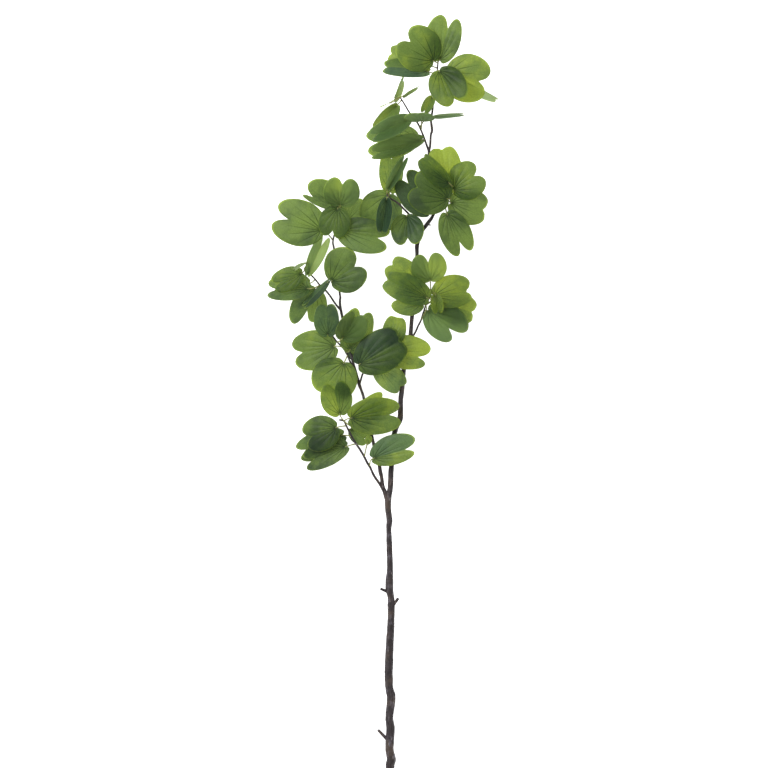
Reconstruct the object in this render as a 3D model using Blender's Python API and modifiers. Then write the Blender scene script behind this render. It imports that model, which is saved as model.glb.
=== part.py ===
# A cut bauhinia branch, lying on a surface and seen from above.
# The bare stem runs along +Y, +X is to the right and +Z points up from the surface.
# The origin is the small flat on the underside of the stem, near its cut end.
# A woody stem carries ten leafy sprays. Each spray is one green body: its twig, its
# leaf stalks and its two-lobed leaves, fused together.

import math

import bmesh
import bpy
from mathutils import Vector

# Lengths in the tables are millimetres, and MM turns them into metres.
MM = 0.001

# Driving dimensions. Ring, rounding, droop and bend are parts of a length or a width.
BLADE_THICKNESS = 0.7
STALK_RADIUS = 0.8
STALK_SUNK = 6.0
STALK_BELOW_BLADE = 0.5
JOINT_GAP = 0.3
BLADE_REST = BLADE_THICKNESS / 2
RIPPLE_HEIGHT = 1.2
RIPPLES = 3
RIB_ROUNDING = 0.03
RIPPLE_SHIFT = 1.7
FAN_OFFSET = 0.1
LEAF_DROOP = 0.10
INNER_RING = 0.55
STALK_BEND = 0.45
GROUND_CUTTER_SIDE = 100.0
SAME_POINT = 0.01

# One half of a leaf in parts of its width and length: from the notch between the
# lobes, over the lobe and down the side to the ear beside the stalk.
HALF_LEAF = [
    (0.00, 0.78), (0.10, 0.95), (0.25, 1.00), (0.40, 0.88),
    (0.49, 0.62), (0.48, 0.32), (0.34, 0.06), (0.14, -0.07),
]

# The stem from its cut end to the crown: x, y, z and radius
STEM = [
    (0, -15, 5.6, 7.1), (0, 0, 6.5, 7.2), (2, 12, 7.2, 7.6), (-1, 30, 8, 7.0),
    (1, 62, 9.6, 7.3), (-1, 80, 10.5, 6.6), (2, 113, 12, 7.4), (-1, 130, 13, 6.6),
    (-2, 163, 14.5, 6.9), (0, 213, 17, 6.4), (2, 247, 19, 5.7), (2, 270, 20, 6.4),
    (1.5, 283, 21, 5.3), (-1, 296, 21.5, 6.6), (-1, 313, 22, 6.3), (0, 330, 23, 5.0),
    (-1, 363, 25, 4.9), (-2, 397, 27, 4.4), (-1, 412, 27.5, 5.2), (-3, 430, 28.5, 4.9),
    (-3, 447, 30, 5.4), (0.5, 466, 31.5, 4.4), (1, 480, 32, 4.5), (2, 497, 33, 4.4),
    (6, 547, 36, 4.4), (10, 567, 38, 4.6), (17, 583, 40, 4.9), (18, 613, 43, 4.2),
    (20, 630, 45, 4.2), (23, 663, 49, 4.0), (28, 683, 51, 3.9), (33, 705, 53, 4.3),
    (35, 730, 55, 3.4), (37, 755, 58, 3.3), (40, 780, 61, 3.1), (43, 820, 65, 3.0),
    (45, 855, 68.5, 2.9), (45, 870, 70, 3.6), (48, 880, 71, 2.8), (52, 893, 73, 3.0),
    (62, 907, 76, 3.3), (72, 922, 79, 2.6), (80, 947, 84, 2.5), (78, 980, 89, 2.3),
    (68, 1008, 93, 2.2), (65, 1027, 96, 2.4), (67, 1038, 98, 1.9), (68, 1055, 100, 1.8),
    (70, 1063, 101, 2.3), (68, 1080, 103, 1.8),
]

# The left limb, from inside the fork
LIMB = [
    (-2, 436, 29, 4.0), (-8, 457, 31, 3.9), (-12, 468, 32, 3.4), (-14, 483, 33, 3.0),
    (-16, 492, 34, 3.4), (-18, 505, 35, 2.9), (-25, 530, 37.5, 2.9), (-30, 552, 39.5, 2.6),
    (-43, 613, 45, 2.3), (-48, 630, 46.5, 2.3), (-51, 638, 47.5, 2.8), (-60, 670, 50, 2.1),
    (-63, 680, 50.5, 2.1), (-65, 690, 51, 2.4), (-82, 763, 57, 2.2), (-83, 785, 59, 1.8),
]

# Short stubs where side shoots were cut off: root, tip, root radius and tip radius
CUT_STUBS = [
    ((-3, 42, 9), (-20, 60, 12), 3.2, 2.2),
    ((3, 266, 20), (14, 281, 22), 3.2, 2.2),
    ((-2, 291, 21.5), (-16, 297, 24), 3.0, 2.0),
    ((62, 907, 76), (68, 905, 77), 1.6, 1.0),
]

# Each spray: its name, its twig, the number of the twig's segment in which the wood
# ends and the green spray begins, the twig's first and last radius, and its leaves.
# A leaf: the place on the twig that its stalk leaves, counted in twig points, its
# base, its tip, its width, its roll about the midrib, the fold of its two halves and
# its rise at mid-length, the angles in degrees.
SPRAYS = [
    ("crown_spray",
     [(68, 1080, 103), (71, 1097, 105), (72, 1113, 107), (75, 1135, 110),
      (78, 1155, 113), (80, 1177, 116)],
     1, 1.8, 1.3,
     [(5.0, (83, 1180, 119), (101, 1250, 128), 62, 0, 10, 3),
      (4.9, (72, 1178, 127), (22, 1218, 147), 78, 0, 8, 3),
      (4.5, (62, 1172, 102), (-1, 1192, 90), 42, -10, 8, 3),
      (4.0, (62, 1160, 117), (-11, 1168, 110), 40, 35, 10, 3),
      (4.1, (97, 1158, 117), (162, 1140, 120), 82, 0, 6, 3),
      (4.2, (82, 1160, 128), (112, 1108, 150), 64, 0, 10, 3),
      (4.0, (112, 1150, 102), (178, 1113, 92), 44, 70, 10, 2),
      (2.0, (70, 1117, 112), (55, 1090, 118), 32, 0, 55, 0)]),
    ("upper_left_spray",
     [(65, 1027, 96), (58, 1047, 99), (53, 1060, 101), (47, 1073, 103), (40, 1083, 104),
      (32, 1093, 105), (23, 1108, 107), (17, 1117, 108)],
     0, 1.8, 1.2,
     [(7.0, (8, 1117, 108), (22, 1151, 66), 38, 76, 12, 2),
      (7.0, (23, 1120, 110), (47, 1135, 104), 36, 80, 10, 0),
      (7.0, (1, 1109, 103), (-11, 1105, 72), 26, 80, 10, 0),
      (6.6, (11, 1104, 98), (-25, 1066, 97), 46, 0, 55, 2),
      (2.2, (52, 1078, 118), (46, 1092, 160), 52, -22, 10, 2),
      (2.6, (74, 1085, 127), (123, 1089, 129), 40, 78, 8, 0),
      (4.0, (30, 1081, 114), (-33, 1050, 122), 54, 0, 52, 2),
      (1.3, (42, 1050, 94), (-38, 1041, 87), 58, 0, 8, 2),
      (1.0, (51, 1046, 107), (-32, 1023, 116), 44, -45, 12, 2)]),
    ("right_rosette_spray",
     [(75, 931, 81), (83, 942, 88), (92, 952, 96), (98, 958, 102), (105, 968, 106)],
     1, 2.0, 1.3,
     [(4.0, (97, 962, 99), (86, 1034, 105), 58, 0, 8, 3),
      (4.0, (99, 974, 125), (55, 1019, 134), 34, 0, 8, 3),
      (3.0, (96, 948, 118), (36, 971, 122), 76, 0, 8, 3),
      (4.0, (106, 964, 111), (150, 993, 114), 66, 0, 6, 3),
      (3.0, (102, 942, 104), (160, 929, 104), 62, 0, 8, 3),
      (2.5, (95, 923, 113), (124, 858, 104), 54, 0, 12, 3),
      (2.0, (66, 928, 92), (20, 988, 94), 60, 0, 6, 2)]),
    ("inner_spray",
     [(52, 893, 73), (37, 917, 80), (23, 932, 84), (13, 942, 87), (5, 947, 89),
      (-3, 952, 90), (-5, 957, 91)],
     0, 1.9, 1.2,
     [(6.0, (-3, 967, 98), (27, 1020, 108), 56, 0, 72, 2),
      (5.0, (0, 962, 86), (3, 1030, 74), 42, 10, 8, 2),
      (6.0, (-2, 956, 82), (-28, 903, 64), 72, 0, 6, 2),
      (5.0, (-6, 947, 97), (-14, 891, 100), 56, 0, 62, 2),
      (1.0, (28, 920, 93), (30, 872, 112), 56, 0, 8, 2)]),
    ("limb_tip_spray",
     [(-83, 785, 59), (-86, 806, 61.5), (-93, 863, 68), (-95, 880, 70), (-87, 910, 74),
      (-85, 933, 77)],
     0, 1.8, 1.2,
     [(5.0, (-83, 938, 97), (-78, 983, 119), 62, 0, 8, 3),
      (5.0, (-87, 934, 90), (-143, 959, 98), 50, -25, -20, 2),
      (4.5, (-74, 912, 64), (-56, 953, 54), 40, 0, 5, 2),
      (3.0, (-115, 897, 75), (-192, 922, 70), 78, 0, 5, 3),
      (4.8, (-87, 933, 93), (-98, 885, 93), 54, 0, 5, 2),
      (3.5, (-82, 896, 82), (-3, 880, 88), 61, 0, 10, 3),
      (1.0, (-97, 812, 72), (-48, 843, 86), 80, 0, 8, 3)]),
    ("left_side_spray",
     [(-82, 763, 57), (-92, 775, 57.5), (-100, 787, 58), (-108, 797, 58.5),
      (-117, 805, 59), (-125, 815, 60), (-135, 825, 61), (-143, 833, 62)],
     0, 1.8, 1.2,
     [(7.0, (-137, 823, 68), (-109, 884, 44), 56, 0, 62, 0),
      (7.0, (-141, 842, 80), (-160, 829, 84), 16, 72, 10, 2),
      (4.0, (-137, 799, 66), (-203, 797, 48), 52, 20, 25, 2),
      (7.0, (-148, 825, 72), (-195, 805, 68), 40, 0, 5, 2),
      (4.0, (-124, 797, 52), (-147, 743, 36), 60, 0, 12, 3),
      (3.4, (-103, 811, 72), (-144, 768, 64), 24, 55, 5, 0),
      (5.0, (-135, 808, 44), (-170, 798, -8), 44, 0, 5, 2)]),
    ("left_lower_spray",
     [(-60, 668, 50), (-66, 676, 52), (-73, 693, 55), (-80, 702, 58), (-88, 710, 60),
      (-98, 723, 64)],
     1, 1.8, 1.2,
     [(5.0, (-104, 722, 68), (-106, 774, 76), 48, -8, 25, 2),
      (4.0, (-79, 717, 73), (-54, 761, 88), 66, 22, 37, 2),
      (2.0, (-67, 697, 62), (-45, 763, 64), 54, 0, 5, 2),
      (3.0, (-93, 703, 57), (-161, 690, 40), 68, 0, 8, 3),
      (1.7, (-77, 675, 62), (-102, 620, 54), 78, 0, 5, 3)]),
    ("middle_spray",
     [(-51, 638, 47.5), (-47, 653, 51), (-43, 662, 54), (-35, 675, 57), (-20, 688, 60)],
     0, 1.8, 1.2,
     [(2.5, (-51, 673, 71), (20, 715, 79), 72, 0, 6, 3),
      (4.0, (-10, 693, 62), (63, 683, 64), 58, 0, 6, 2),
      (4.0, (2, 706, 69), (12, 752, 68), 40, 0, 5, 1),
      (3.0, (-22, 672, 56), (20, 633, 55), 44, 0, 5, 2),
      (2.0, (-48, 682, 45), (-70, 718, 40), 36, 0, 5, 2)]),
    ("bottom_left_spray",
     [(-12, 463, 31.5), (-17, 472, 34), (-27, 487, 37), (-33, 500, 39), (-38, 508, 40),
      (-43, 518, 41), (-50, 530, 42), (-57, 540, 43), (-63, 550, 44), (-67, 558, 45),
      (-73, 570, 46), (-77, 578, 47), (-85, 580, 48)],
     1, 2.3, 1.5,
     [(11.0, (-84, 590, 54), (-96, 643, 68), 54, 5, 8, 2),
      (10.0, (-90, 567, 52), (-142, 548, 38), 60, 0, 6, 3),
      (7.0, (-74, 535, 44), (-142, 508, 24), 50, 15, 20, 3),
      (6.0, (-80, 554, 35), (-153, 524, 8), 48, 0, 5, 2),
      (11.0, (-65, 583, 60), (17, 590, 62), 64, 0, 12, 3),
      (11.0, (-58, 572, 56), (-7, 618, 55), 44, 0, 5, 2),
      (9.0, (-65, 564, 32), (-37, 545, 29), 32, 0, 5, 2),
      (5.0, (-38, 540, 54), (-34, 554, 60), 12, 0, 5, 0),
      (3.2, (-27, 516, 50), (42, 535, 60), 51, 0, 8, 3)]),
    ("right_spray",
     [(34, 712, 54), (43, 728, 57), (47, 737, 58), (52, 747, 60), (55, 757, 62),
      (57, 763, 63), (60, 772, 64), (65, 783, 66), (68, 793, 68)],
     1, 1.8, 1.2,
     [(8.0, (67, 813, 78), (62, 858, 92), 62, 0, 12, 2),
      (7.0, (50, 799, 71), (0, 842, 74), 52, 0, 5, 2),
      (7.0, (62, 784, 86), (-8, 815, 94), 50, 0, 10, 3),
      (3.0, (54, 775, 80), (4, 783, 81), 46, 0, 5, 2),
      (7.0, (74, 787, 70), (135, 796, 65), 56, 0, 6, 3),
      (8.0, (76, 789, 75), (81, 758, 76), 25, 0, 30, 0),
      (5.0, (64, 762, 63), (114, 720, 48), 67, 0, 15, 3),
      (6.0, (80, 778, 58), (141, 759, 44), 54, 0, 5, 2),
      (6.0, (80, 783, 50), (130, 788, -8), 50, 0, 5, 2)]),
]

WOOD_COLOUR = (0.075, 0.055, 0.052, 1.0)
LEAF_COLOUR = (0.115, 0.22, 0.045, 1.0)
WOOD_ROUGHNESS = 0.8
LEAF_ROUGHNESS = 0.55


def clear_scene():
    for thing in list(bpy.data.objects):
        bpy.data.objects.remove(thing, do_unlink=True)


def make_collection(name):
    group = bpy.data.collections.new(name)
    bpy.context.scene.collection.children.link(group)
    return group


def make_material(name, colour, roughness):
    material = bpy.data.materials.new(name)
    material.use_nodes = True
    shader = material.node_tree.nodes["Principled BSDF"]
    shader.inputs["Base Color"].default_value = colour
    shader.inputs["Roughness"].default_value = roughness
    shader.inputs["Metallic"].default_value = 0.0
    return material


def tube(name, points, radii, half_sides, group):
    """A closed tube along the points, with a radius at each of them."""
    curve = bpy.data.curves.new(name, "CURVE")
    curve.dimensions = "3D"
    curve.bevel_depth = MM
    curve.bevel_resolution = half_sides - 2
    curve.use_fill_caps = True
    spline = curve.splines.new("POLY")
    spline.points.add(len(points) - 1)
    for spot, place, radius in zip(spline.points, points, radii):
        spot.co = (*(MM * Vector(place)), 1.0)
        spot.radius = radius
    thing = bpy.data.objects.new(name, curve)
    group.objects.link(thing)
    bpy.context.view_layer.update()
    seen = thing.evaluated_get(bpy.context.evaluated_depsgraph_get())
    mesh = bpy.data.meshes.new_from_object(seen)
    place = thing.matrix_world.copy()
    bpy.data.objects.remove(thing, do_unlink=True)
    shape = bmesh.new()
    shape.from_mesh(mesh)
    bmesh.ops.remove_doubles(shape, verts=shape.verts, dist=SAME_POINT * MM)
    bmesh.ops.triangulate(shape, faces=shape.faces)
    bmesh.ops.recalc_face_normals(shape, faces=shape.faces)
    shape.to_mesh(mesh)
    shape.free()
    solid = bpy.data.objects.new(name, mesh)
    solid.matrix_world = place
    group.objects.link(solid)
    return solid


def leaf_frame(base, tip, roll):
    """The directions along the midrib, to its right and out of the upper face."""
    along = (Vector(tip) - Vector(base)).normalized()
    up = Vector((0, 0, 1))
    face = (up - along * up.dot(along)).normalized()
    side = along.cross(face)
    turn = math.radians(roll)
    face, side = (
        face * math.cos(turn) + side * math.sin(turn),
        side * math.cos(turn) - face * math.sin(turn),
    )
    return along, side, face


def leaf_point(leaf, across, forward, phase):
    """Where a point of the flat outline lies once the leaf is folded, arched and rippled."""
    _, base, tip, width, roll, fold, rise = leaf
    along, side, face = leaf_frame(base, tip, roll)
    length = (Vector(tip) - Vector(base)).length
    tilt = math.radians(fold)
    reach = abs(across) * width
    lift = math.hypot(across, RIB_ROUNDING) * width - RIB_ROUNDING * width
    height = lift * math.sin(tilt) - LEAF_DROOP * width * (2 * across) ** 2 / 2
    height += rise * 4 * forward * (1 - forward)
    edge = min(1.0, math.hypot(2 * across, forward))
    angle = math.atan2(across, forward + FAN_OFFSET)
    height += RIPPLE_HEIGHT * edge ** 3 * math.sin(RIPPLES * angle + phase)
    spread = math.copysign(reach * math.cos(tilt), across)
    spot = Vector(base) + along * (forward * length) + side * spread + face * height
    spot.z = max(spot.z, BLADE_REST)
    return spot * MM


def blade(name, leaf, phase, group):
    """A leaf blade: a fan from the stalk, then a finer ring out to the edge, thickened."""
    rays = [(-x, y) for x, y in reversed(HALF_LEAF[1:])] + HALF_LEAF
    shape = bmesh.new()
    root = shape.verts.new(leaf_point(leaf, 0, 0, phase))
    edge = [shape.verts.new(leaf_point(leaf, x, y, phase)) for x, y in rays]
    inside = [
        shape.verts.new(leaf_point(leaf, x * INNER_RING, y * INNER_RING, phase))
        for x, y in rays[1::2]
    ]
    shape.faces.new((root, inside[0], edge[0]))
    shape.faces.new((root, edge[-1], inside[-1]))
    for k, point in enumerate(inside):
        shape.faces.new((point, edge[2 * k + 1], edge[2 * k]))
        shape.faces.new((point, edge[2 * k + 2], edge[2 * k + 1]))
    for k, (left, right) in enumerate(zip(inside, inside[1:])):
        shape.faces.new((root, right, left))
        shape.faces.new((left, right, edge[2 * k + 2]))
    mesh = bpy.data.meshes.new(name)
    shape.to_mesh(mesh)
    shape.free()
    thing = bpy.data.objects.new(name, mesh)
    group.objects.link(thing)
    thicken = thing.modifiers.new("thickness", "SOLIDIFY")
    thicken.thickness = BLADE_THICKNESS * MM
    thicken.offset = 0.0
    return apply_modifiers(thing)


def apply_modifiers(thing):
    bpy.context.view_layer.update()
    seen = thing.evaluated_get(bpy.context.evaluated_depsgraph_get())
    mesh = bpy.data.meshes.new_from_object(seen)
    thing.modifiers.clear()
    thing.data = mesh
    return thing


def along_twig(twig, place):
    """The point at a fractional number of twig points."""
    k = min(int(place), len(twig) - 2)
    return Vector(twig[k]).lerp(Vector(twig[k + 1]), place - k)


def stalk(name, twig, leaf, group):
    """The leaf stalk: from inside the twig to under the blade, along its midrib."""
    place, base, tip, _, roll, _, _ = leaf
    along, _, face = leaf_frame(base, tip, roll)
    start = along_twig(twig, place)
    below = Vector(base) - face * STALK_BELOW_BLADE
    bend = below - along * (STALK_BEND * (below - start).length)
    middle = (start + bend * 2 + below) / 4
    end = below + along * STALK_SUNK
    return tube(name, [start, middle, below, end], [STALK_RADIUS] * 4, 2, group)


def fuse(body, pieces, group):
    """Join a collection of closed pieces to the body, then drop them."""
    union = body.modifiers.new("union", "BOOLEAN")
    union.operation = "UNION"
    union.operand_type = "COLLECTION"
    union.collection = group
    union.solver = "MANIFOLD"
    apply_modifiers(body)
    for piece in pieces:
        bpy.data.objects.remove(piece, do_unlink=True)
    return body


def split_twig(path, joint, first_radius, last_radius):
    """The twig's woody part and its green part, flat end to flat end with a fine gap."""
    radii = [
        first_radius + (last_radius - first_radius) * k / (len(path) - 1)
        for k in range(len(path))
    ]
    before, after = Vector(path[joint]), Vector(path[joint + 1])
    ahead = (after - before).normalized()
    cut = before.lerp(after, 0.5)
    cut_radius = (radii[joint] + radii[joint + 1]) / 2
    wood = [Vector(p) for p in path[:joint + 1]] + [cut]
    green = [cut + ahead * JOINT_GAP] + [Vector(p) for p in path[joint + 1:]]
    return (
        (wood, radii[:joint + 1] + [cut_radius]),
        (green, [cut_radius] + radii[joint + 1:]),
    )


def make_woody_stem(parts, helpers):
    body = tube("woody_stem", [p[:3] for p in STEM], [p[3] for p in STEM], 4, parts)
    pieces = [tube("limb", [p[:3] for p in LIMB], [p[3] for p in LIMB], 3, helpers)]
    for k, (root, tip, thick, thin) in enumerate(CUT_STUBS):
        pieces.append(tube(f"stub_{k}", [root, tip], [thick, thin], 3, helpers))
    for name, path, joint, first, last, _ in SPRAYS:
        (points, radii), _ = split_twig(path, joint, first, last)
        pieces.append(tube(f"{name}_root", points, radii, 3, helpers))
    fuse(body, pieces, helpers)
    rest_on_surface(body, helpers)
    body.data.materials.append(make_material("bark", WOOD_COLOUR, WOOD_ROUGHNESS))


def rest_on_surface(body, helpers):
    """Shave the underside where the stem lies on the surface."""
    side = GROUND_CUTTER_SIDE * MM
    bpy.ops.mesh.primitive_cube_add(size=side, location=(0, 0, -side / 2))
    ground = bpy.context.active_object
    ground.name = "ground_cutter"
    ground.hide_render = True
    ground.display_type = "WIRE"
    for group in list(ground.users_collection):
        group.objects.unlink(ground)
    helpers.objects.link(ground)
    shave = body.modifiers.new("shave", "BOOLEAN")
    shave.operation = "DIFFERENCE"
    shave.solver = "EXACT"
    shave.object = ground
    apply_modifiers(body)
    bpy.data.objects.remove(ground, do_unlink=True)


def make_spray(spray, number, parts, helpers):
    name, path, joint, first, last, leaves = spray
    _, (points, radii) = split_twig(path, joint, first, last)
    body = tube(name, points, radii, 3, parts)
    pieces = []
    for k, leaf in enumerate(leaves):
        phase = RIPPLE_SHIFT * k + number
        pieces.append(stalk(f"{name}_stalk_{k}", path, leaf, helpers))
        pieces.append(blade(f"{name}_leaf_{k}", leaf, phase, helpers))
    fuse(body, pieces, helpers)
    body.data.materials.append(make_material(f"{name}_green", LEAF_COLOUR, LEAF_ROUGHNESS))


def main():
    clear_scene()
    parts = make_collection("bauhinia_branch")
    helpers = make_collection("helpers")
    make_woody_stem(parts, helpers)
    for number, spray in enumerate(SPRAYS):
        make_spray(spray, number, parts, helpers)
    bpy.data.collections.remove(helpers)


main()
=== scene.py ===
import math

import bmesh
import bpy
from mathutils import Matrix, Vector, noise


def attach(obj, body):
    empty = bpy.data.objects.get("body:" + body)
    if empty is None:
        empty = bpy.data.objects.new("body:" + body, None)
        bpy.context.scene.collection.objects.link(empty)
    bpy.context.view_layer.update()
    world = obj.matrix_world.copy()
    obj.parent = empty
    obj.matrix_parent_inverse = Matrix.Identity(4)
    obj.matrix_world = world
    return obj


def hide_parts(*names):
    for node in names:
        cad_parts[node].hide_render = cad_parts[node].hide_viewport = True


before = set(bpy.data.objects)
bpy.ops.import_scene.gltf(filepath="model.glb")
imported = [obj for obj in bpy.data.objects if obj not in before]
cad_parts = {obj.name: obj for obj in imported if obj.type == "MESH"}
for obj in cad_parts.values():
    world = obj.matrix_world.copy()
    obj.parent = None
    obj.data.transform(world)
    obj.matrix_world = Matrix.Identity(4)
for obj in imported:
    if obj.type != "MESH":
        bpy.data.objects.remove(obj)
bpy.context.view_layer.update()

mm = 0.001  # the tables are in millimetres
print("frame loaded:", len(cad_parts), "nodes")


leafShape = {
    "thickness": 0.5,  # mm
    "raysPerHalf": 32,  # mesh steps from the notch to the ear
    "rings": 13,  # mesh steps from the stalk to the edge
    "veinStep": 1.5,  # outline points from one vein to the next
    "ribRounding": 0.03,
    "droop": 0.10,
    "ripple": 1.2,
    "ripples": 3,
    "rippleShift": 1.7,
    "fanOffset": 0.1,
    "notchReach": 1.6,  # outline points from the notch over which a leaf's own notch is blended in
    "notchCurve": 1.5,
    "halvesMeet": 0.6,  # outline points over which the own shapes of the two halves meet
    "litShadesMeet": 0.8,  # the same for their painted light, shade and sheen
    "pleat": 0.9,  # mm that the blade swells between two veins
    "fullPleatWidth": 60,  # mm, narrower leaves swell less
    "bow": 0.84,  # under 1 the veins bow outwards on their way to the edge
    "lowest": 0.35,  # mm above the surface
}

# half of the outline in parts of width and length, from the notch to the ear beside the stalk
halfLeaf = [
    (0.00, 0.78), (0.10, 0.95), (0.25, 1.00), (0.40, 0.88), (0.49, 0.62),
    (0.48, 0.32), (0.34, 0.06), (0.14, -0.07), (0.03, -0.04),
]


def splinePoint(points, place):
    # a smooth line through points, read at a fractional number of points
    last = len(points) - 1
    k = min(int(place), last - 1)
    t = place - k
    a, b, c, d = (Vector(points[min(max(k + shift, 0), last)]) for shift in (-1, 0, 1, 2))
    bend = (2 * a - 5 * b + 4 * c - d) * t ** 2
    return 0.5 * (2 * b + (c - a) * t + bend + (3 * b - a - 3 * c + d) * t ** 3)


def leafAxes(base, tip, roll):
    # along the midrib, to its right, and out of the upper face
    along = (Vector(tip) - Vector(base)).normalized()
    up = Vector((0, 0, 1))
    face = (up - along * up.dot(along)).normalized()
    side = along.cross(face)
    turn = math.radians(roll)
    turnedSide = side * math.cos(turn) - face * math.sin(turn)
    turnedFace = face * math.cos(turn) + side * math.sin(turn)
    return along, turnedSide, turnedFace


def leafPoint(leaf, ray, reach, phase):
    # ray runs from the left ear (negative) over the notch (0) to the right ear, reach from stalk to edge
    base, tip, width, roll, fold, rise = leaf[1:7]
    trim = leaf[11] if len(leaf) > 11 else {}
    along, side, face = leafAxes(base, tip, roll)
    length = (Vector(tip) - Vector(base)).length
    edge = splinePoint(halfLeaf, abs(ray))
    notch = trim.get("notch", halfLeaf[0][1]) - halfLeaf[0][1]
    edge.y += notch * max(0.0, 1 - abs(ray) / leafShape["notchReach"]) ** leafShape["notchCurve"]
    hand = min(max(-ray / leafShape["halvesMeet"], -1.0), 1.0)  # 1 on the left half, -1 on the right
    edge.x *= 1 + hand * trim.get("lean", 0.0)
    edge.y *= 1 + hand * trim.get("lobes", 0.0)
    across = math.copysign(edge.x * reach ** leafShape["bow"], ray)
    forward = edge.y * reach
    tilt = math.radians(fold)
    rounding = leafShape["ribRounding"]
    height = (math.hypot(across, rounding) - rounding) * width * math.sin(tilt)
    height -= leafShape["droop"] * width * (2 * across) ** 2 / 2
    height += rise * 4 * forward * (1 - forward)
    rim = min(1.0, math.hypot(2 * across, forward))
    angle = math.atan2(across, forward + leafShape["fanOffset"])
    height += leafShape["ripple"] * rim ** 3 * math.sin(leafShape["ripples"] * angle + phase)
    swell = math.sin(math.pi * ray / leafShape["veinStep"]) ** 2
    fullness = min(1.0, width / leafShape["fullPleatWidth"])
    height += leafShape["pleat"] * swell * 4 * reach * (1 - reach) * fullness
    aside = side * (across * width * math.cos(tilt))
    spot = Vector(base) + along * (forward * length) + aside + face * height
    spot.z = max(spot.z, leafShape["lowest"])
    return spot * mm


def addLeaf(mesh, leaf, phase):
    rays = len(halfLeaf) - 1
    rings = leafShape["rings"]
    made = bmesh.ops.create_grid(
        mesh, x_segments=2 * leafShape["raysPerHalf"], y_segments=rings, size=0.5, calc_uvs=True)["verts"]
    litShade, paintedSheen = mesh.verts.layers.float["leafLitShade"], mesh.verts.layers.float["leafPaintedSheen"]
    for vert in made:
        ray, reach = vert.co.x * 2 * rays, vert.co.y + 0.5
        # each half carries its own painted light and shade and painted sheen
        right = min(max(ray / leafShape["litShadesMeet"] + 0.5, 0.0), 1.0)
        vert[litShade] = leaf[7] + (leaf[8] - leaf[7]) * right
        vert[paintedSheen] = leaf[9] + (leaf[10] - leaf[9]) * right
        vert.co = leafPoint(leaf, ray, reach, phase)
    bmesh.ops.remove_doubles(mesh, verts=made, dist=0.01 * mm)  # the rays meet at the stalk


def smoothPath(points, radii, step):
    # the points and radii of a smooth line through points, about one every step
    places, sizes = [], []
    for k in range(len(points) - 1):
        pieces = max(1, round((Vector(points[k + 1]) - Vector(points[k])).length / step))
        for j in range(pieces):
            places.append(splinePoint(points, k + j / pieces))
            sizes.append(radii[k] + (radii[k + 1] - radii[k]) * (j / pieces))
    return places + [Vector(points[-1])], sizes + [radii[-1]]


def addTube(mesh, points, radii, sides, relief=None):
    # a closed tube: a grid rolled up, its two end rows drawn to a point on the axis
    rows = len(points) + 1
    made = bmesh.ops.create_grid(mesh, x_segments=sides, y_segments=rows, size=0.5, calc_uvs=True)["verts"]
    last = len(points) - 1
    aheads = [(points[min(k + 1, last)] - points[max(k - 1, 0)]).normalized() for k in range(len(points))]
    lefts = [aheads[0].orthogonal().normalized()]
    for ahead in aheads[1:]:
        lefts.append((lefts[-1] - ahead * lefts[-1].dot(ahead)).normalized())
    for vert in made:
        row = round((vert.co.y + 0.5) * rows)
        angle = (vert.co.x + 0.5) * 2 * math.pi
        k = min(max(row - 1, 0), last)
        out = lefts[k] * math.cos(angle) + aheads[k].cross(lefts[k]) * math.sin(angle)
        radius = 0.0 if row in (0, rows) else radii[k]
        if relief and radius:
            radius += relief(points[k], out, radii[k])
        vert.co = (points[k] + out * radius) * mm
        vert.co.z = max(vert.co.z, 0.0)  # flat where the stem lies on the surface
    bmesh.ops.remove_doubles(mesh, verts=made, dist=0.001 * mm)  # the seam and the two ends


barkShape = {
    "around": 2.2,  # how fine the relief is around the wood
    "waves": [  # times finer around, how fine from place to place, height as a share of the radius
        (2.5, 0.02, 0.07),  # lengthwise ridges
        (1, 0.09, 0.08),  # lumps
        (3, 0.35, 0.05),  # fine roughness
    ],
}


def barkRelief(place, out, radius):
    fine = barkShape["around"]
    around = Vector((out.x * fine, out.y * fine, out.z * fine))
    height = 0.0
    for finer, alongFine, share in barkShape["waves"]:
        height += share * noise.noise(around * finer + place * alongFine)
    return radius * height


def alongTwig(twig, place):
    k = min(int(place), len(twig) - 2)
    return Vector(twig[k]).lerp(Vector(twig[k + 1]), place - k)


stalkShape = {
    "belowBlade": 0.5,  # mm
    "bend": 0.45,
    "underBlade": 7,  # mm that it runs on under the blade
    "radii": [1.3, 0.9, 1.2, 0.5],  # mm, from the twig to the end under the blade
    "ringEvery": 2.5,  # mm
    "sides": 8,
}


def addStalk(mesh, twig, leaf):
    # from inside the twig to under the blade, a little thicker at both ends
    place, base, tip, _, roll = leaf[:5]
    along, _, face = leafAxes(base, tip, roll)
    start = alongTwig(twig, place)
    below = Vector(base) - face * stalkShape["belowBlade"]
    bend = below - along * (stalkShape["bend"] * (below - start).length)
    middle = (start + bend * 2 + below) / 4
    points = [start, middle, below, below + along * stalkShape["underBlade"]]
    points, radii = smoothPath(points, stalkShape["radii"], stalkShape["ringEvery"])
    addTube(mesh, points, radii, stalkShape["sides"])


woodShape = {
    "stemSides": 28,
    "limbSides": 18,
    "stubSides": 14,
    "twigSides": 12,
    "ringEvery": 2.2,  # mm along the stem
    "twigRingEvery": 1.6,
    "stubRingEvery": 1.5,
}

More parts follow.
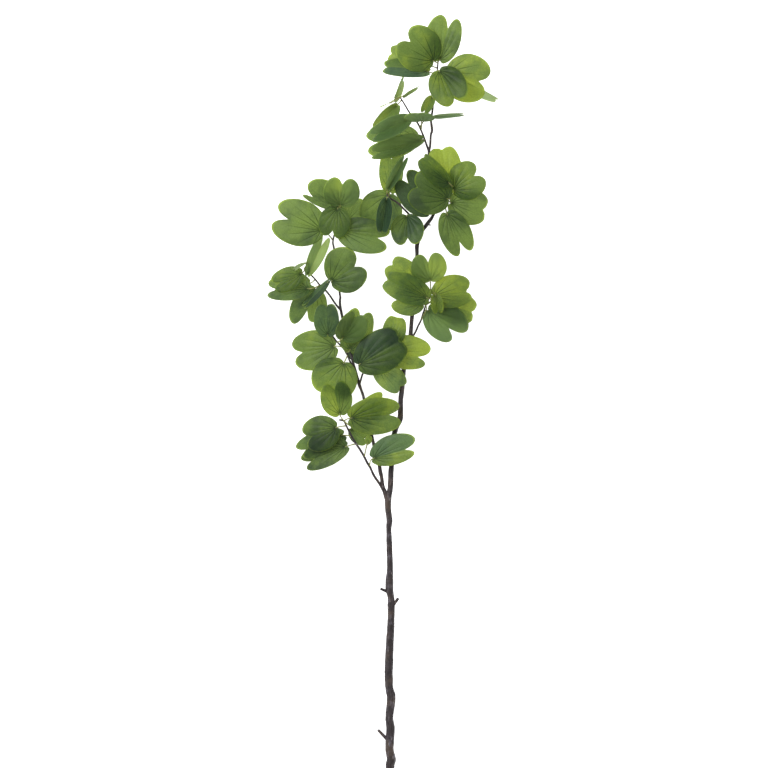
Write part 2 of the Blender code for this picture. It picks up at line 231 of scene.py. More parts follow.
stemPath = [  # x, y, z and radius
    (0, -15, 5.6, 7.1), (0, 0, 6.5, 7.2), (2, 12, 7.2, 7.6), (-1, 30, 8, 7.0),
    (1, 62, 9.6, 7.3), (-1, 80, 10.5, 6.6), (2, 113, 12, 7.4), (-1, 130, 13, 6.6),
    (-2, 163, 14.5, 6.9), (0, 213, 17, 6.4), (2, 247, 19, 5.7), (2, 270, 20, 6.4),
    (1.5, 283, 21, 5.3), (-1, 296, 21.5, 6.6), (-1, 313, 22, 6.3), (0, 330, 23, 5.0),
    (-1, 363, 25, 4.9), (-2, 397, 27, 4.4), (-1, 412, 27.5, 5.2), (-3, 430, 28.5, 4.9),
    (-3, 447, 30, 5.4), (0.5, 466, 31.5, 4.4), (1, 480, 32, 4.5), (2, 497, 33, 4.4),
    (6, 547, 36, 4.4), (10, 567, 38, 4.6), (17, 583, 40, 4.9), (18, 613, 43, 4.2),
    (20, 630, 45, 4.2), (23, 663, 49, 4.0), (28, 683, 51, 3.9), (33, 705, 53, 4.3),
    (35, 730, 55, 3.4), (37, 755, 58, 3.3), (40, 780, 61, 3.1), (43, 820, 65, 3.0),
    (45, 855, 68.5, 2.9), (45, 870, 70, 3.6), (48, 880, 71, 2.8), (52, 893, 73, 3.0),
    (62, 907, 76, 3.3), (72, 922, 79, 2.6), (80, 947, 84, 2.5), (78, 980, 89, 2.3),
    (68, 1008, 93, 2.2), (65, 1027, 96, 2.4), (67, 1038, 98, 1.9), (68, 1055, 100, 1.8),
    (70, 1063, 101, 2.3), (68, 1080, 103, 1.8),
]
limbPath = [
    (-2, 436, 29, 4.0), (-8, 457, 31, 3.9), (-12, 468, 32, 3.4), (-14, 483, 33, 3.0),
    (-16, 492, 34, 3.4), (-18, 505, 35, 2.9), (-25, 530, 37.5, 2.9), (-30, 552, 39.5, 2.6),
    (-43, 613, 45, 2.3), (-48, 630, 46.5, 2.3), (-51, 638, 47.5, 2.8), (-60, 670, 50, 2.1),
    (-63, 680, 50.5, 2.1), (-65, 690, 51, 2.4), (-82, 763, 57, 2.2), (-83, 785, 59, 1.8),
]
cutStubs = [  # root, tip, root radius and tip radius
    ((-3, 42, 9), (-20, 60, 12), 3.2, 2.2),
    ((3, 266, 20), (14, 281, 22), 3.2, 2.2),
    ((-2, 291, 21.5), (-16, 297, 24), 3.0, 2.0),
    ((62, 907, 76), (68, 905, 77), 1.6, 1.0),
]

# CAD node, piece name, twig, its first and last radius, and its leaves. A leaf: place on the twig,
# base, tip, width, roll, fold, rise, painted light and shade of its left and right half (-1 painted
# shade to 1 painted light, over 1.2 a pale painted highlight) and painted blue-green sheen of its left
# and right half (0 to 1). Some have values of their own: notch is where the notch ends along the leaf,
# lean widens the left half, lobes lengthens the left lobe.
sprays = [
    ("crown_spray", "crown",
     [(68, 1080, 103), (71, 1097, 105), (72, 1113, 107), (75, 1135, 110),
      (78, 1155, 113), (80, 1177, 116)],
     1.8, 1.3,
     [(5.0, (83, 1180, 119), (101, 1250, 128), 62, 0, 10, 3, 0.0, -0.35, 0, 0, {"lean": 0.14, "notch": 0.74}),
      (4.9, (72, 1178, 127), (22, 1218, 147), 78, 0, 8, 3, 0.2, 0.05, 0, 0),
      (4.5, (62, 1172, 102), (-1, 1192, 90), 42, -10, 8, 3, 0.5, 0.4, 0, 0, {"notch": 0.95}),
      (4.0, (62, 1160, 117), (-11, 1168, 110), 40, 35, 10, 3, -0.5, 0.2, 0.4, 0.1, {"notch": 0.93}),
      (4.1, (97, 1158, 117), (162, 1140, 120), 82, 0, 6, 3, 0.4, 0.8, 0, 0),
      (4.2, (82, 1160, 128), (112, 1108, 150), 64, 0, 10, 3, -0.45, 0.3, 0, 0, {"notch": 0.84}),
      (4.0, (112, 1150, 102), (178, 1113, 92), 44, 70, 10, 2, 2.1, 2.1, 0.4, 0.4, {"notch": 0.97}),
      (2.0, (70, 1117, 112), (55, 1090, 118), 32, 0, 55, 0, 0.4, 0.6, 0.1, 0.2)]),
    ("upper_left_spray", "upperLeft",
     [(65, 1027, 96), (58, 1047, 99), (53, 1060, 101), (47, 1073, 103), (40, 1083, 104),
      (32, 1093, 105), (23, 1108, 107), (17, 1117, 108)],
     1.8, 1.2,
     [(7.0, (8, 1117, 108), (22, 1151, 66), 38, 76, 12, 2, 0.1, 0.2, 0.2, 0.2),
      (7.0, (23, 1120, 110), (47, 1135, 104), 36, 80, 10, 0, 1.3, 1.0, 0.4, 0.4),
      (7.0, (1, 1109, 103), (-11, 1105, 72), 26, 80, 10, 0, 2.0, 2.0, 0.2, 0.2),
      (6.6, (11, 1104, 98), (-25, 1066, 97), 46, 0, 55, 2, 0.15, 0.3, 0, 0, {"notch": 0.92, "lean": 0.2}),
      (2.2, (52, 1078, 118), (46, 1092, 160), 52, -22, 10, 2, 0.3, 0.4, 0.5, 0.5, {"notch": 0.93}),
      (2.6, (74, 1085, 127), (123, 1089, 129), 40, 78, 8, 0, 0.8, 0.5, 0.7, 0.7),
      (4.0, (30, 1081, 114), (-33, 1050, 122), 54, 0, 52, 2, 0.2, -0.1, 0.4, 0.4),
      (1.3, (42, 1050, 94), (-38, 1041, 87), 58, 0, 8, 2, 0.0, -0.25, 0, 0.1),
      (1.0, (51, 1046, 107), (-32, 1023, 116), 44, -45, 12, 2, 0.2, -0.05, 0.2, 0.1, {"lean": -0.25})]),
    ("right_rosette_spray", "rightRosette",
     [(75, 931, 81), (83, 942, 88), (92, 952, 96), (98, 958, 102), (105, 968, 106)],
     2.0, 1.3,
     [(4.0, (97, 962, 99), (86, 1034, 105), 58, 0, 8, 3, 0.9, 0.8, 0, 0, {"notch": 0.96}),
      (4.0, (99, 974, 125), (55, 1019, 134), 34, 0, 8, 3, 0.2, 0.4, 0, 0, {"notch": 0.97, "lean": 0.35}),
      (3.0, (96, 948, 118), (36, 971, 122), 76, 0, 8, 3, -0.25, -0.2, 0, 0, {"notch": 0.86}),
      (4.0, (106, 964, 111), (150, 993, 114), 66, 0, 6, 3, 0.25, 0.2, 0, 0),
      (3.0, (102, 942, 104), (160, 929, 104), 62, 0, 8, 3, -0.2, -0.1, 0, 0, {"notch": 0.92}),
      (2.5, (95, 923, 113), (124, 858, 104), 54, 0, 12, 3, -0.25, -0.2, 0, 0, {"notch": 0.7}),
      (2.0, (66, 928, 92), (20, 988, 94), 60, 0, 6, 2, -1.2, -2.2, 0, -0.0)]),
    ("inner_spray", "inner",
     [(52, 893, 73), (37, 917, 80), (23, 932, 84), (13, 942, 87), (5, 947, 89),
      (-3, 952, 90), (-5, 957, 91)],
     1.9, 1.2,
     [(6.0, (-3, 967, 98), (27, 1020, 108), 56, 0, 72, 2, 0.3, -0.3, 0.4, 0.4),
      (5.0, (0, 962, 86), (3, 1030, 74), 42, 10, 8, 2, 0.15, 0.0, 0, 0),
      (6.0, (-2, 956, 82), (-28, 903, 64), 72, 0, 6, 2, -0.6, -0.25, 0.1, 0),
      (5.0, (-6, 947, 97), (-14, 891, 100), 56, 0, 62, 2, -1.1, -0.8, 0.3, 0.3, {"notch": 0.95}),
      (1.0, (28, 920, 93), (30, 872, 112), 56, 0, 8, 2, -0.9, -0.5, 0.1, 0)]),
    ("limb_tip_spray", "limbTip",
     [(-83, 785, 59), (-86, 806, 61.5), (-93, 863, 68), (-95, 880, 70), (-87, 910, 74),
      (-85, 933, 77)],
     1.8, 1.2,
     [(5.0, (-83, 938, 97), (-78, 983, 119), 62, 0, 8, 3, 0.25, -0.3, 0, 0),
      (5.0, (-87, 934, 90), (-143, 959, 98), 50, -25, -20, 2, -0.1, -0.35, 0.1, 0,
       {"lean": -0.4, "notch": 0.74}),
      (4.5, (-74, 912, 64), (-56, 953, 54), 40, 0, 5, 2, 0.0, 0.0, 0.1, 0.1),
      (3.0, (-115, 897, 75), (-192, 922, 70), 78, 0, 5, 3, -0.3, -0.2, 0, 0, {"notch": 0.72}),
      (4.8, (-87, 933, 93), (-98, 885, 93), 54, 0, 5, 2, 0.1, -0.1, 0, 0),
      (3.5, (-82, 896, 82), (-3, 880, 88), 61, 0, 10, 3, -0.45, -0.15, 0, 0.1),
      (1.0, (-97, 812, 72), (-48, 843, 86), 80, 0, 8, 3, -0.2, -0.4, 0, 0, {"lean": 0.1, "notch": 0.78})]),
    ("left_side_spray", "leftSide",
     [(-82, 763, 57), (-92, 775, 57.5), (-100, 787, 58), (-108, 797, 58.5),
      (-117, 805, 59), (-125, 815, 60), (-135, 825, 61), (-143, 833, 62)],
     1.8, 1.2,
     [(7.0, (-137, 823, 68), (-109, 884, 44), 56, 0, 62, 0, 0.3, 1.9, 0.5, 0.1),
      (7.0, (-141, 842, 80), (-160, 829, 84), 16, 72, 10, 2, 2.2, 2.2, 0.2, 0.2),
      (4.0, (-137, 799, 66), (-203, 797, 48), 52, 20, 25, 2, -0.3, 0.2, 0.1, 0.1),
      (7.0, (-148, 825, 72), (-195, 805, 68), 40, 0, 5, 2, 0.2, 0.2, 0, 0),
      (4.0, (-124, 797, 52), (-147, 743, 36), 60, 0, 12, 3, 0.1, -0.5, 0, 0.1,
       {"notch": 0.62, "lobes": -0.13}),
      (3.4, (-103, 811, 72), (-144, 768, 64), 24, 55, 5, 0, -1.0, -0.2, 0.2, 0.4),
      (5.0, (-135, 808, 44), (-170, 798, -8), 44, 0, 5, 2, -0.3, -0.3, 0.0, 0.0)]),
    ("left_lower_spray", "leftLower",
     [(-60, 668, 50), (-66, 676, 52), (-73, 693, 55), (-80, 702, 58), (-88, 710, 60),
      (-98, 723, 64)],
     1.8, 1.2,
     [(5.0, (-104, 722, 68), (-106, 774, 76), 48, -8, 25, 2, -0.2, -0.6, 0.3, 0.2, {"notch": 0.93}),
      (4.0, (-79, 717, 73), (-54, 761, 88), 66, 22, 37, 2, -0.35, -0.05, 0, 0),
      (2.0, (-67, 697, 62), (-45, 763, 64), 54, 0, 5, 2, 0.1, -0.1, 0, 0),
      (3.0, (-93, 703, 57), (-161, 690, 40), 68, 0, 8, 3, -0.15, 0.0, 0, 0),
      (1.7, (-77, 675, 62), (-102, 620, 54), 78, 0, 5, 3, 0.2, 0.2, 0, 0, {"lean": -0.1})]),
    ("middle_spray", "middle",
     [(-51, 638, 47.5), (-47, 653, 51), (-43, 662, 54), (-35, 675, 57), (-20, 688, 60)],
     1.8, 1.2,
     [(2.5, (-51, 673, 71), (20, 715, 79), 72, 0, 6, 3, -0.75, -0.3, 0.1, 0.0, {"notch": 0.96}),
      (4.0, (-10, 693, 62), (63, 683, 64), 58, 0, 6, 2, 0.7, 0.35, 0, 0, {"lean": 0.18, "lobes": 0.04}),
      (4.0, (2, 706, 69), (12, 752, 68), 40, 0, 5, 1, 0.3, 0.3, 0.0, 0.0, {"notch": 1.0}),
      (3.0, (-22, 672, 56), (20, 633, 55), 44, 0, 5, 2, 0.45, 0.5, 0.3, 0.3, {"notch": 0.93}),
      (2.0, (-48, 682, 45), (-70, 718, 40), 36, 0, 5, 2, -0.9, -0.9, 0, 0)]),
    ("bottom_left_spray", "bottomLeft",
     [(-12, 463, 31.5), (-17, 472, 34), (-27, 487, 37), (-33, 500, 39), (-38, 508, 40),
      (-43, 518, 41), (-50, 530, 42), (-57, 540, 43), (-63, 550, 44), (-67, 558, 45),
      (-73, 570, 46), (-77, 578, 47), (-85, 580, 48)],
     2.3, 1.5,
     [(11.0, (-84, 590, 54), (-96, 643, 68), 54, 5, 8, 2, 0.35, -0.05, 0, 0),
      (10.0, (-90, 567, 52), (-142, 548, 38), 60, 0, 6, 3, -0.6, -0.4, 0, 0),
      (7.0, (-74, 535, 44), (-142, 508, 24), 50, 15, 20, 3, -0.65, -0.6, 0, 0),
      (6.0, (-80, 554, 35), (-153, 524, 8), 48, 0, 5, 2, -0.9, -0.3, 0, 0.1),
      (11.0, (-65, 583, 60), (17, 590, 62), 64, 0, 12, 3, 0.5, 0.15, 0, 0),
      (11.0, (-58, 572, 56), (-7, 618, 55), 44, 0, 5, 2, 0.6, 0.6, 0.0, 0.0),
      (9.0, (-65, 564, 32), (-37, 545, 29), 32, 0, 5, 2, -0.3, -0.3, 0, 0.1),
      (5.0, (-38, 540, 54), (-34, 554, 60), 12, 0, 5, 0, 0.3, 0.3, 0.0, 0.0),
      (3.2, (-27, 516, 50), (42, 535, 60), 51, 0, 8, 3, -0.1, 0.4, 0.4, 0.1,
       {"notch": 0.76, "lean": 0.2, "lobes": 0.05})]),
    ("right_spray", "right",
     [(34, 712, 54), (43, 728, 57), (47, 737, 58), (52, 747, 60), (55, 757, 62),
      (57, 763, 63), (60, 772, 64), (65, 783, 66), (68, 793, 68)],
     1.8, 1.2,
     [(8.0, (67, 813, 78), (62, 858, 92), 62, 0, 12, 2, 0.1, 0.5, 0, 0, {"notch": 0.68}),
      (7.0, (50, 799, 71), (0, 842, 74), 52, 0, 5, 2, 0.4, 0.5, 0, 0, {"notch": 0.93}),
      (7.0, (62, 784, 86), (-8, 815, 94), 50, 0, 10, 3, 0.45, 0.45, 0.2, 0.1, {"notch": 0.96}),
      (3.0, (54, 775, 80), (4, 783, 81), 46, 0, 5, 2, 0.3, 0.0, 0.1, 0.3, {"lean": 0.1}),
      (7.0, (74, 787, 70), (135, 796, 65), 56, 0, 6, 3, 0.6, 0.75, 0, 0.1, {"lean": 0.12, "notch": 0.85}),
      (8.0, (76, 789, 75), (81, 758, 76), 25, 0, 30, 0, 1.2, 1.3, 0, 0),
      (5.0, (64, 762, 63), (114, 720, 48), 67, 0, 15, 3, -0.2, -0.1, 0.2, 0.3,
       {"lean": 0.12, "lobes": 0.08, "notch": 0.68}),
      (6.0, (80, 778, 58), (141, 759, 44), 54, 0, 5, 2, 0.9, 0.4, 0.1, 0, {"notch": 0.93}),
      (6.0, (80, 783, 50), (130, 788, -8), 50, 0, 5, 2, 0.0, 0.0, 0.0, 0.0)]),
]


def addNode(tree, kind, **values):
    node = tree.nodes.new("ShaderNode" + kind)
    for name, value in values.items():
        setattr(node, name, value)
    return node


def feed(tree, node, **inputs):
    # each input by its name, or by its number after an i: a socket is linked, all else is a value
    for name, value in inputs.items():
        numbered = name[0] == "i" and name[1:].isdigit()
        socket = node.inputs[int(name[1:]) if numbered else name.replace("_", " ")]
        if isinstance(value, bpy.types.NodeSocket):
            tree.links.new(value, socket)
        else:
            socket.default_value = value
    return node


def calc(tree, operation, *values):
    node = addNode(tree, "Math", operation=operation)
    return feed(tree, node, **{f"i{k}": value for k, value in enumerate(values)}).outputs[0]


def ramp(tree, value, fromLow, fromHigh, toLow=0.0, toHigh=1.0):
    node = addNode(tree, "MapRange", interpolation_type="SMOOTHSTEP")
    return feed(tree, node, i0=value, i1=fromLow, i2=fromHigh, i3=toLow, i4=toHigh).outputs[0]


def blendColour(tree, share, first, second):
    node = addNode(tree, "Mix", data_type="RGBA", blend_type="MIX")
    return feed(tree, node, i0=share, i6=first, i7=second).outputs[2]


def noiseAt(tree, place, scale, detail=3.0, roughness=0.5):
    node = addNode(tree, "TexNoise")
    return feed(tree, node, Vector=place, Scale=scale, Detail=detail, Roughness=roughness).outputs[0]


def newGroup(name, inputs, outputs):
    group = bpy.data.node_groups.new(name, "ShaderNodeTree")
    for label, default in inputs.items():
        socket = group.interface.new_socket(label, in_out="INPUT", socket_type="NodeSocketFloat")
        socket.default_value = default
    for label in outputs:
        group.interface.new_socket(label, in_out="OUTPUT", socket_type="NodeSocketFloat")
    return group, group.nodes.new("NodeGroupInput").outputs, group.nodes.new("NodeGroupOutput")


veinLook = {
    "width": 1.5,  # mm at the stalk
    "widthAtEdge": 0.3,  # as a share of the width at the stalk
    "pointSpacing": 16.0,  # mm from one outline point to the next, at the edge
    "fadeFrom": 0.35,  # share of the way to the edge
    "fadeTo": 0.97,
    "leftAtEdge": 0.15,
    "netScale": 230.0,  # meshes of the fine net in a metre
    "netLine": 0.16,
    "netDepth": 0.2,
    "weaveScale": 2600.0,
    "weave": 0.25,
    "crinkleScale": 150.0,
    "crinkle": 2.0,
    "mottleScale": 28.0,
    "edgeHighlightFrom": 0.945,  # share of the way to the edge
    "edgeHighlightTo": 0.985,
    "edgeHighlightLeast": 0.35,  # how much of the painted edge highlight is left where it fades
}


def buildVeins():
    # masks for both faces of a leaf: main veins, a painted edge highlight, fine net, mottling, and a height
    look = veinLook
    group, given, out = newGroup(
        "leafVeins", {"Vein width": look["width"], "Net scale": look["netScale"]},
        ["Vein", "Rim", "Net", "Mottle", "Height"])
    uv = addNode(group, "UVMap", uv_map="leafRays").outputs[0]
    parts = feed(group, addNode(group, "SeparateXYZ"), Vector=uv).outputs
    place = addNode(group, "TexCoord").outputs["Object"]
    step = leafShape["veinStep"]
    rays = 2 * (len(halfLeaf) - 1)
    turn = calc(group, "MULTIPLY", calc(group, "SUBTRACT", parts[0], 0.5), rays / step)
    share = calc(group, "FRACT", calc(group, "ADD", turn, 100.5))  # kept positive, 0.5 on a vein
    off = calc(group, "ABSOLUTE", calc(group, "SUBTRACT", share, 0.5))
    spread = calc(group, "MULTIPLY", off, look["pointSpacing"] * step)
    distance = calc(group, "MULTIPLY", spread, parts[1])
    taper = ramp(group, parts[1], 0.0, 1.0, 1.0, look["widthAtEdge"])
    width = calc(group, "MULTIPLY", given["Vein width"], taper)
    line = calc(group, "SUBTRACT", 1.0, ramp(group, calc(group, "DIVIDE", distance, width), 0.15, 1.0))
    fade = ramp(group, parts[1], look["fadeFrom"], look["fadeTo"], 1.0, look["leftAtEdge"])
    vein = calc(group, "MULTIPLY", line, fade)
    net = feed(group, addNode(group, "TexVoronoi", feature="DISTANCE_TO_EDGE"),
               Vector=place, Scale=given["Net scale"]).outputs[0]
    net = calc(group, "SUBTRACT", 1.0, ramp(group, net, 0.0, look["netLine"]))
    mottle = noiseAt(group, place, look["mottleScale"], 4.0, 0.6)
    weave = noiseAt(group, place, look["weaveScale"], 2.0)
    waves = noiseAt(group, place, look["crinkleScale"], 3.0, 0.55)
    crinkle = calc(group, "MULTIPLY", waves, look["crinkle"])
    raised = calc(group, "ADD", crinkle, calc(group, "MULTIPLY", weave, look["weave"]))
    sunk = calc(group, "ADD", vein, calc(group, "MULTIPLY", net, look["netDepth"]))
    height = calc(group, "SUBTRACT", raised, sunk)
    # a bright band along the edge: painted highlight of a backlit leaf edge
    border = ramp(group, parts[1], look["edgeHighlightFrom"], look["edgeHighlightTo"])
    rim = calc(group, "MULTIPLY", border, ramp(group, mottle, 0.35, 0.6, look["edgeHighlightLeast"], 1.0))
    feed(group, out, Vein=vein, Rim=rim, Net=net, Mottle=mottle, Height=height)
    return group


leafLook = {
    # painted shade, the leaf's own middle green, painted light and a pale painted highlight
    "paintedShade": (0.020, 0.045, 0.020, 1),
    "middle": (0.050, 0.105, 0.022, 1),
    "paintedLight": (0.080, 0.155, 0.024, 1),
    "pale": (0.220, 0.280, 0.130, 1),
    # a blue-green painted sheen, as where a leaf reflects the white light
    "paintedSheen": (0.050, 0.110, 0.085, 1),
    "veinColour": (0.015, 0.035, 0.010, 1),
    # the colour let through: painted shade, the leaf's own green, painted light and a pale painted highlight
    "throughPaintedShade": (0.10, 0.14, 0.09, 1),
    "throughMiddle": (0.32, 0.38, 0.15, 1),
    "throughPaintedLight": (0.66, 0.68, 0.16, 1),
    "throughPaintedHighlight": (0.95, 1.00, 0.65, 1),
    # the same painted sheen in the colour let through
    "throughPaintedSheen": (0.20, 0.31, 0.34, 1),
    # a yellow-green painted highlight along the leaf edge
    "rim": (0.26, 0.38, 0.05, 1),
    "throughEdgeHighlight": (0.85, 0.95, 0.25, 1),
    "underside": (0.12, 0.18, 0.09, 1),
    "underThrough": (0.80, 0.95, 0.50, 1),
    "topThroughShare": 0.55,  # light let through, against light thrown back
    "underThroughShare": 0.70,
    "mottle": 0.35,  # added at random to the painted light and shade, up or down
    "highlightFrom": 1.2,  # painted light-and-shade values over which a leaf turns pale, a painted highlight
    "highlightTo": 2.2,
    "paintedLightThroughTo": 0.9,
    "undersideShare": 0.6,
    "netShare": 0.25,
    "edgeHighlightShare": 0.5,
    "veinShare": 0.65,
    "veinShadow": 0.6,
    "netShadow": 0.12,
    "throughEdgeHighlightShare": 0.45,
    "roughness": 0.46,
    "specular": 0.35,
    "relief": 0.45,
    "reliefDepth": 0.4,  # mm
}


def leafMaterial(name, veins, top):
    look = leafLook
    material = bpy.data.materials.new(name)
    material.use_nodes = True
    tree = material.node_tree
    shader, out = tree.nodes["Principled BSDF"], tree.nodes["Material Output"]
    masks = addNode(tree, "Group", node_tree=veins).outputs
    litShade = addNode(tree, "Attribute", attribute_name="leafLitShade").outputs["Fac"]
    paintedSheen = addNode(tree, "Attribute", attribute_name="leafPaintedSheen").outputs["Fac"]
    spots = ramp(tree, masks["Mottle"], 0.3, 0.7, -look["mottle"], look["mottle"])
    litShade = calc(tree, "ADD", litShade, spots)
    # painted shade below the middle, painted light above it, a pale painted highlight at the top
    shadeToMiddle = ramp(tree, litShade, -1.0, 0.0)
    highlightShare = ramp(tree, litShade, look["highlightFrom"], look["highlightTo"])
    colour = blendColour(tree, shadeToMiddle, look["paintedShade"], look["middle"])
    colour = blendColour(tree, ramp(tree, litShade, 0.0, 1.0), colour, look["paintedLight"])
    colour = blendColour(tree, highlightShare, colour, look["pale"])
    # blue-green painted sheen over the colour
    colour = blendColour(tree, paintedSheen, colour, look["paintedSheen"])
    if not top:
        colour = blendColour(tree, look["undersideShare"], colour, look["underside"])
    # dark net and veins, and the painted edge highlight
    marks = [
        ("Net", "netShare", "veinColour"), ("Rim", "edgeHighlightShare", "rim"), ("Vein", "veinShare", "veinColour")]
    for mask, share, tint in marks:
        colour = blendColour(tree, calc(tree, "MULTIPLY", masks[mask], look[share]), colour, look[tint])
    if top:
        # the colour let through, painted darker, brighter or pale the same way
        through = blendColour(tree, shadeToMiddle, look["throughPaintedShade"], look["throughMiddle"])
        paintedLight = ramp(tree, litShade, 0.0, look["paintedLightThroughTo"])
        through = blendColour(tree, paintedLight, through, look["throughPaintedLight"])
        through = blendColour(tree, highlightShare, through, look["throughPaintedHighlight"])
        through = blendColour(tree, paintedSheen, through, look["throughPaintedSheen"])
        veinShadow = calc(tree, "MULTIPLY", masks["Vein"], look["veinShadow"])
        shadow = calc(tree, "ADD", veinShadow, calc(tree, "MULTIPLY", masks["Net"], look["netShadow"]))
        through = blendColour(tree, shadow, through, look["veinColour"])
        # the painted edge highlight in the colour let through
        edge = calc(tree, "MULTIPLY", masks["Rim"], look["throughEdgeHighlightShare"])
        through = blendColour(tree, edge, through, look["throughEdgeHighlight"])
    else:
        through = look["underThrough"]
    bump = feed(tree, addNode(tree, "Bump"), Strength=look["relief"],
                Distance=look["reliefDepth"] * mm, Height=masks["Height"])
    feed(tree, shader, Base_Color=colour, Roughness=look["roughness"], Normal=bump.outputs[0])
    shader.inputs["Specular IOR Level"].default_value = look["specular"]
    glow = feed(tree, addNode(tree, "BsdfTranslucent"), Color=through)
    share = look["topThroughShare"] if top else look["underThroughShare"]
    mixed = feed(tree, addNode(tree, "MixShader"), i0=share, i1=shader.outputs[0], i2=glow.outputs[0])
    tree.links.new(mixed.outputs[0], out.inputs["Surface"])
    return material


barkLook = {
    "deep": (0.020, 0.015, 0.016, 1),
    "body": (0.044, 0.033, 0.036, 1),
    "brown": (0.068, 0.047, 0.036, 1),
    # lilac-grey patches: painted sheen on the dark bark
    "barkSheen": (0.115, 0.103, 0.125, 1),
    "speck": (0.300, 0.260, 0.230, 1),
    "stretch": (1.0, 0.22, 1.0),  # the streaks run along the branch
    "streakScale": 420.0,
    "patchScale": 45.0,
    "sheenAndSpeckScale": 90.0,
    "speckScale": 330.0,
    "speckShare": 0.7,
    "speckHeight": 0.5,
    "relief": 0.7,
    "reliefDepth": 0.5,  # mm
    "roughest": 0.75,
    "smoothest": 0.5,
    "specular": 0.4,
}


def barkMaterial():
    look = barkLook
    material = bpy.data.materials.new("bark")
    material.use_nodes = True
    tree = material.node_tree
    shader = tree.nodes["Principled BSDF"]
    place = addNode(tree, "TexCoord").outputs["Object"]
    stretch = feed(tree, addNode(tree, "Mapping"), Vector=place, Scale=look["stretch"]).outputs[0]
    streak = noiseAt(tree, stretch, look["streakScale"], 5.0, 0.65)
    patch = noiseAt(tree, place, look["patchScale"], 3.0, 0.55)
    other = noiseAt(tree, place, look["sheenAndSpeckScale"], 2.0, 0.5)
    specks = feed(tree, addNode(tree, "TexVoronoi"), Vector=stretch, Scale=look["speckScale"]).outputs[0]
    dots = calc(tree, "SUBTRACT", 1.0, ramp(tree, specks, 0.10, 0.24))
    speck = calc(tree, "MULTIPLY", dots, ramp(tree, other, 0.5, 0.6))
    colour = blendColour(tree, ramp(tree, streak, 0.38, 0.62), look["deep"], look["body"])
    colour = blendColour(tree, ramp(tree, patch, 0.48, 0.66), colour, look["brown"])
    # lilac-grey patches of painted sheen
    barkSheen = calc(tree, "MULTIPLY", ramp(tree, other, 0.50, 0.70), ramp(tree, streak, 0.4, 0.6))
    colour = blendColour(tree, barkSheen, colour, look["barkSheen"])
    colour = blendColour(tree, calc(tree, "MULTIPLY", speck, look["speckShare"]), colour, look["speck"])
    height = calc(tree, "ADD", streak, calc(tree, "MULTIPLY", speck, look["speckHeight"]))
    bump = feed(tree, addNode(tree, "Bump"), Strength=look["relief"],
                Distance=look["reliefDepth"] * mm, Height=height)
    rough = ramp(tree, streak, 0.3, 0.7, look["roughest"], look["smoothest"])
    feed(tree, shader, Base_Color=colour, Roughness=rough, Normal=bump.outputs[0])
    shader.inputs["Specular IOR Level"].default_value = look["specular"]
    return material


stalkLook = {
    "pale": (0.26, 0.28, 0.08, 1),
    "ruddy": (0.12, 0.08, 0.04, 1),
    "ruddyAtTwig": 0.8,
    "ruddyUpTo": 0.3,  # share of the stalk's length
    "ruddySpots": 0.4,
    "grainScale": 500.0,
    "roughness": 0.5,
    "relief": 0.3,
    "reliefDepth": 0.2,  # mm
}


def stalkMaterial():
    look = stalkLook
    material = bpy.data.materials.new("leafStalk")
    material.use_nodes = True
    tree = material.node_tree
    shader = tree.nodes["Principled BSDF"]
    uv = addNode(tree, "UVMap", uv_map="tubeRound").outputs[0]
    along = feed(tree, addNode(tree, "SeparateXYZ"), Vector=uv).outputs[1]
    place = addNode(tree, "TexCoord").outputs["Object"]
    grain = noiseAt(tree, place, look["grainScale"], 3.0)
    nearTwig = ramp(tree, along, 0.0, look["ruddyUpTo"], look["ruddyAtTwig"], 0.0)
    colour = blendColour(tree, nearTwig, look["pale"], look["ruddy"])
    colour = blendColour(tree, ramp(tree, grain, 0.4, 0.8, 0.0, look["ruddySpots"]), colour, look["ruddy"])
    bump = feed(tree, addNode(tree, "Bump"), Strength=look["relief"],
                Distance=look["reliefDepth"] * mm, Height=grain)
    feed(tree, shader, Base_Color=colour, Roughness=look["roughness"], Normal=bump.outputs[0])
    return material


veins = buildVeins()
leafTop = leafMaterial("leafTop", veins, True)
leafUnder = leafMaterial("leafUnder", veins, False)
bark = barkMaterial()
stalkGreen = stalkMaterial()
print("materials ready")


def finishPiece(mesh, name, materials, node):
    bmesh.ops.recalc_face_normals(mesh, faces=mesh.faces)
    for face in mesh.faces:
        face.smooth = True
    data = bpy.data.meshes.new(name)
    mesh.to_mesh(data)
    mesh.free()
    piece = bpy.data.objects.new(name, data)
    bpy.context.scene.collection.objects.link(piece)
    for material in materials:
        data.materials.append(material)
    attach(piece, "root")
    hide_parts(node)
    return piece


def newMesh(uvName):
    mesh = bmesh.new()
    mesh.loops.layers.uv.new(uvName)
    return mesh


def buildWood():
    mesh = newMesh("tubeRound")
    for path, sides in ((stemPath, woodShape["stemSides"]), (limbPath, woodShape["limbSides"])):
        points, radii = smoothPath([p[:3] for p in path], [p[3] for p in path], woodShape["ringEvery"])
        addTube(mesh, points, radii, sides, barkRelief)
    for root, tip, thick, thin in cutStubs:
        points, radii = smoothPath([root, tip], [thick, thin], woodShape["stubRingEvery"])
        addTube(mesh, points, radii, woodShape["stubSides"], barkRelief)
    finishPiece(mesh, "woodyStem", [bark], "woody_stem")


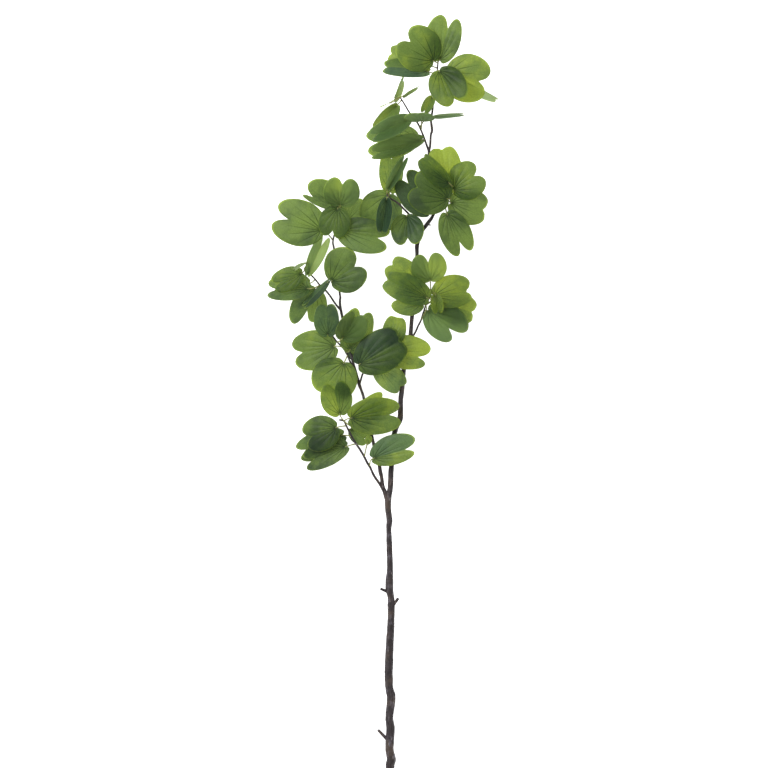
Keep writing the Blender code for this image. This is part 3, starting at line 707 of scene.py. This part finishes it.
def buildSpray(number, node, name, twig, firstRadius, lastRadius, leaves):
    mesh = newMesh("tubeRound")
    radii = [firstRadius + (lastRadius - firstRadius) * k / (len(twig) - 1) for k in range(len(twig))]
    points, radii = smoothPath(twig, radii, woodShape["twigRingEvery"])
    addTube(mesh, points, radii, woodShape["twigSides"], barkRelief)
    finishPiece(mesh, name + "Twig", [bark], node)

    mesh = newMesh("tubeRound")
    for leaf in leaves:
        addStalk(mesh, twig, leaf)
    finishPiece(mesh, name + "Stalks", [stalkGreen], node)

    mesh = newMesh("leafRays")
    for layer in ("leafLitShade", "leafPaintedSheen"):
        mesh.verts.layers.float.new(layer)
    for k, leaf in enumerate(leaves):
        addLeaf(mesh, leaf, leafShape["rippleShift"] * k + number)
    piece = finishPiece(mesh, name + "Leaves", [leafTop, leafUnder], node)
    thicken = piece.modifiers.new("thickness", "SOLIDIFY")
    thicken.thickness = leafShape["thickness"] * mm
    thicken.offset = 0.0
    thicken.material_offset = 1


buildWood()
print("wood ready")
for number, spray in enumerate(sprays):
    buildSpray(number, *spray)
print("sprays ready:", len(sprays))


stageLook = {
    "floorSize": 60.0,  # m
    "floorGlow": 1.0,  # a lit table: it shines up through the leaves
    "floorColour": (0.8, 0.8, 0.8, 1),
    "worldLight": 0.55,
    "keyPower": 90.0,
    "keySize": 2.0,
    "keyPlace": (-1.6, 1.9, 2.6),
    "keyAim": (0, 0.75, 0.05),
}


def buildStage():
    mesh = bmesh.new()
    bmesh.ops.create_grid(mesh, x_segments=1, y_segments=1, size=stageLook["floorSize"] / 2)
    data = bpy.data.meshes.new("floor")
    mesh.to_mesh(data)
    mesh.free()
    floor = bpy.data.objects.new("floor", data)
    bpy.context.scene.collection.objects.link(floor)
    material = bpy.data.materials.new("floorWhite")
    material.use_nodes = True
    shader = material.node_tree.nodes["Principled BSDF"]
    shader.inputs["Base Color"].default_value = stageLook["floorColour"]
    shader.inputs["Roughness"].default_value = 1.0
    shader.inputs["Emission Color"].default_value = (1, 1, 1, 1)
    shader.inputs["Emission Strength"].default_value = stageLook["floorGlow"]
    data.materials.append(material)

    world = bpy.data.worlds.new("studio")
    world.use_nodes = True
    world.node_tree.nodes["Background"].inputs["Color"].default_value = (1, 1, 1, 1)
    world.node_tree.nodes["Background"].inputs["Strength"].default_value = stageLook["worldLight"]
    bpy.context.scene.world = world

    light = bpy.data.lights.new("softKey", "AREA")
    light.energy = stageLook["keyPower"]
    light.size = stageLook["keySize"]
    key = bpy.data.objects.new("softKey", light)
    bpy.context.scene.collection.objects.link(key)
    key.location = stageLook["keyPlace"]
    aim = Vector(stageLook["keyAim"]) - key.location
    key.rotation_euler = aim.to_track_quat("-Z", "Y").to_euler()


cameraLook = {
    "lens": 400.0,  # mm, so that the branch is seen nearly without perspective
    "sensor": 36.0,  # mm
    "frameWidth": 1.28,  # m across the picture at the height below
    "frameHeight": 0.10,
    "centre": (-0.010, 0.640),
}


def buildCamera():
    data = bpy.data.cameras.new("camera")
    data.lens = cameraLook["lens"]
    data.sensor_width = cameraLook["sensor"]
    camera = bpy.data.objects.new("camera", data)
    bpy.context.scene.collection.objects.link(camera)
    distance = cameraLook["frameWidth"] * data.lens / data.sensor_width
    camera.location = (*cameraLook["centre"], cameraLook["frameHeight"] + distance)
    bpy.context.scene.camera = camera


buildStage()
buildCamera()
bpy.context.scene.view_settings.view_transform = "Standard"
print("stage, light and camera ready")
